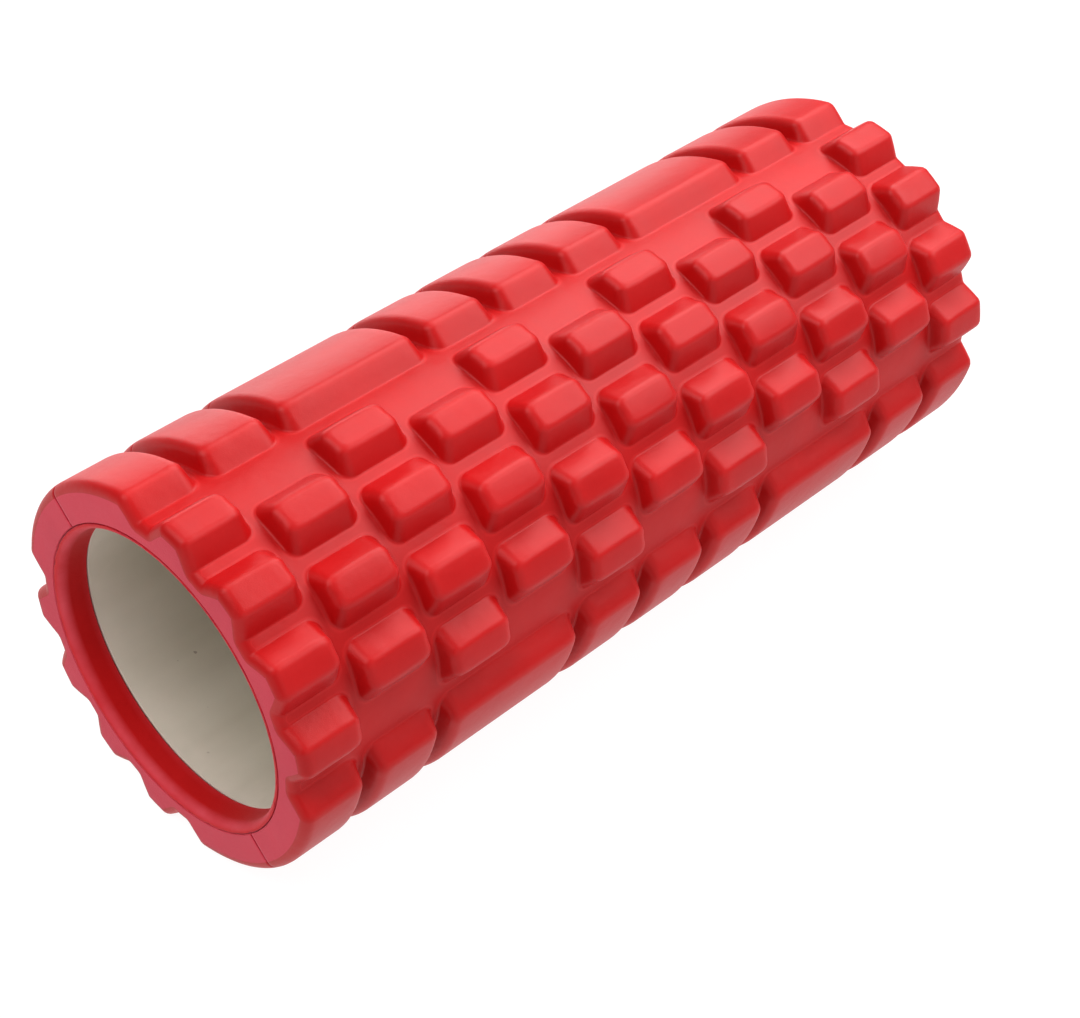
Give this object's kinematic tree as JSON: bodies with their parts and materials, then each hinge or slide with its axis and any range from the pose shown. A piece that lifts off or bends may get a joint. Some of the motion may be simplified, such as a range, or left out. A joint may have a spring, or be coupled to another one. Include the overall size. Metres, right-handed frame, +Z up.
{
  "type": "foam roller",
  "caption": "Textured massage roller: a two-part moulded foam sleeve with block treads round a hollow rigid tube, with a foam collar in each end.",
  "frame": {"origin": "on the ground plane, under the middle of the roller", "axes": "+X along the roller's axis, +Z up as it lies at rest, -Y towards the zone of small pads that faces the viewer"},
  "size_m": [0.34, 0.1394, 0.1383],
  "materials": {
    "sleeve_foam": "matt red moulded EVA foam",
    "collar_foam": "matt red EVA foam, cut edge",
    "core_plastic": "off-white extruded tube, satin"
  },
  "bodies": {
    "root": {"foam_shell_front": "sleeve_foam", "foam_shell_back": "sleeve_foam", "end_collar_left": "collar_foam", "end_collar_right": "collar_foam", "core_tube": "core_plastic"}
  },
  "joints": []
}
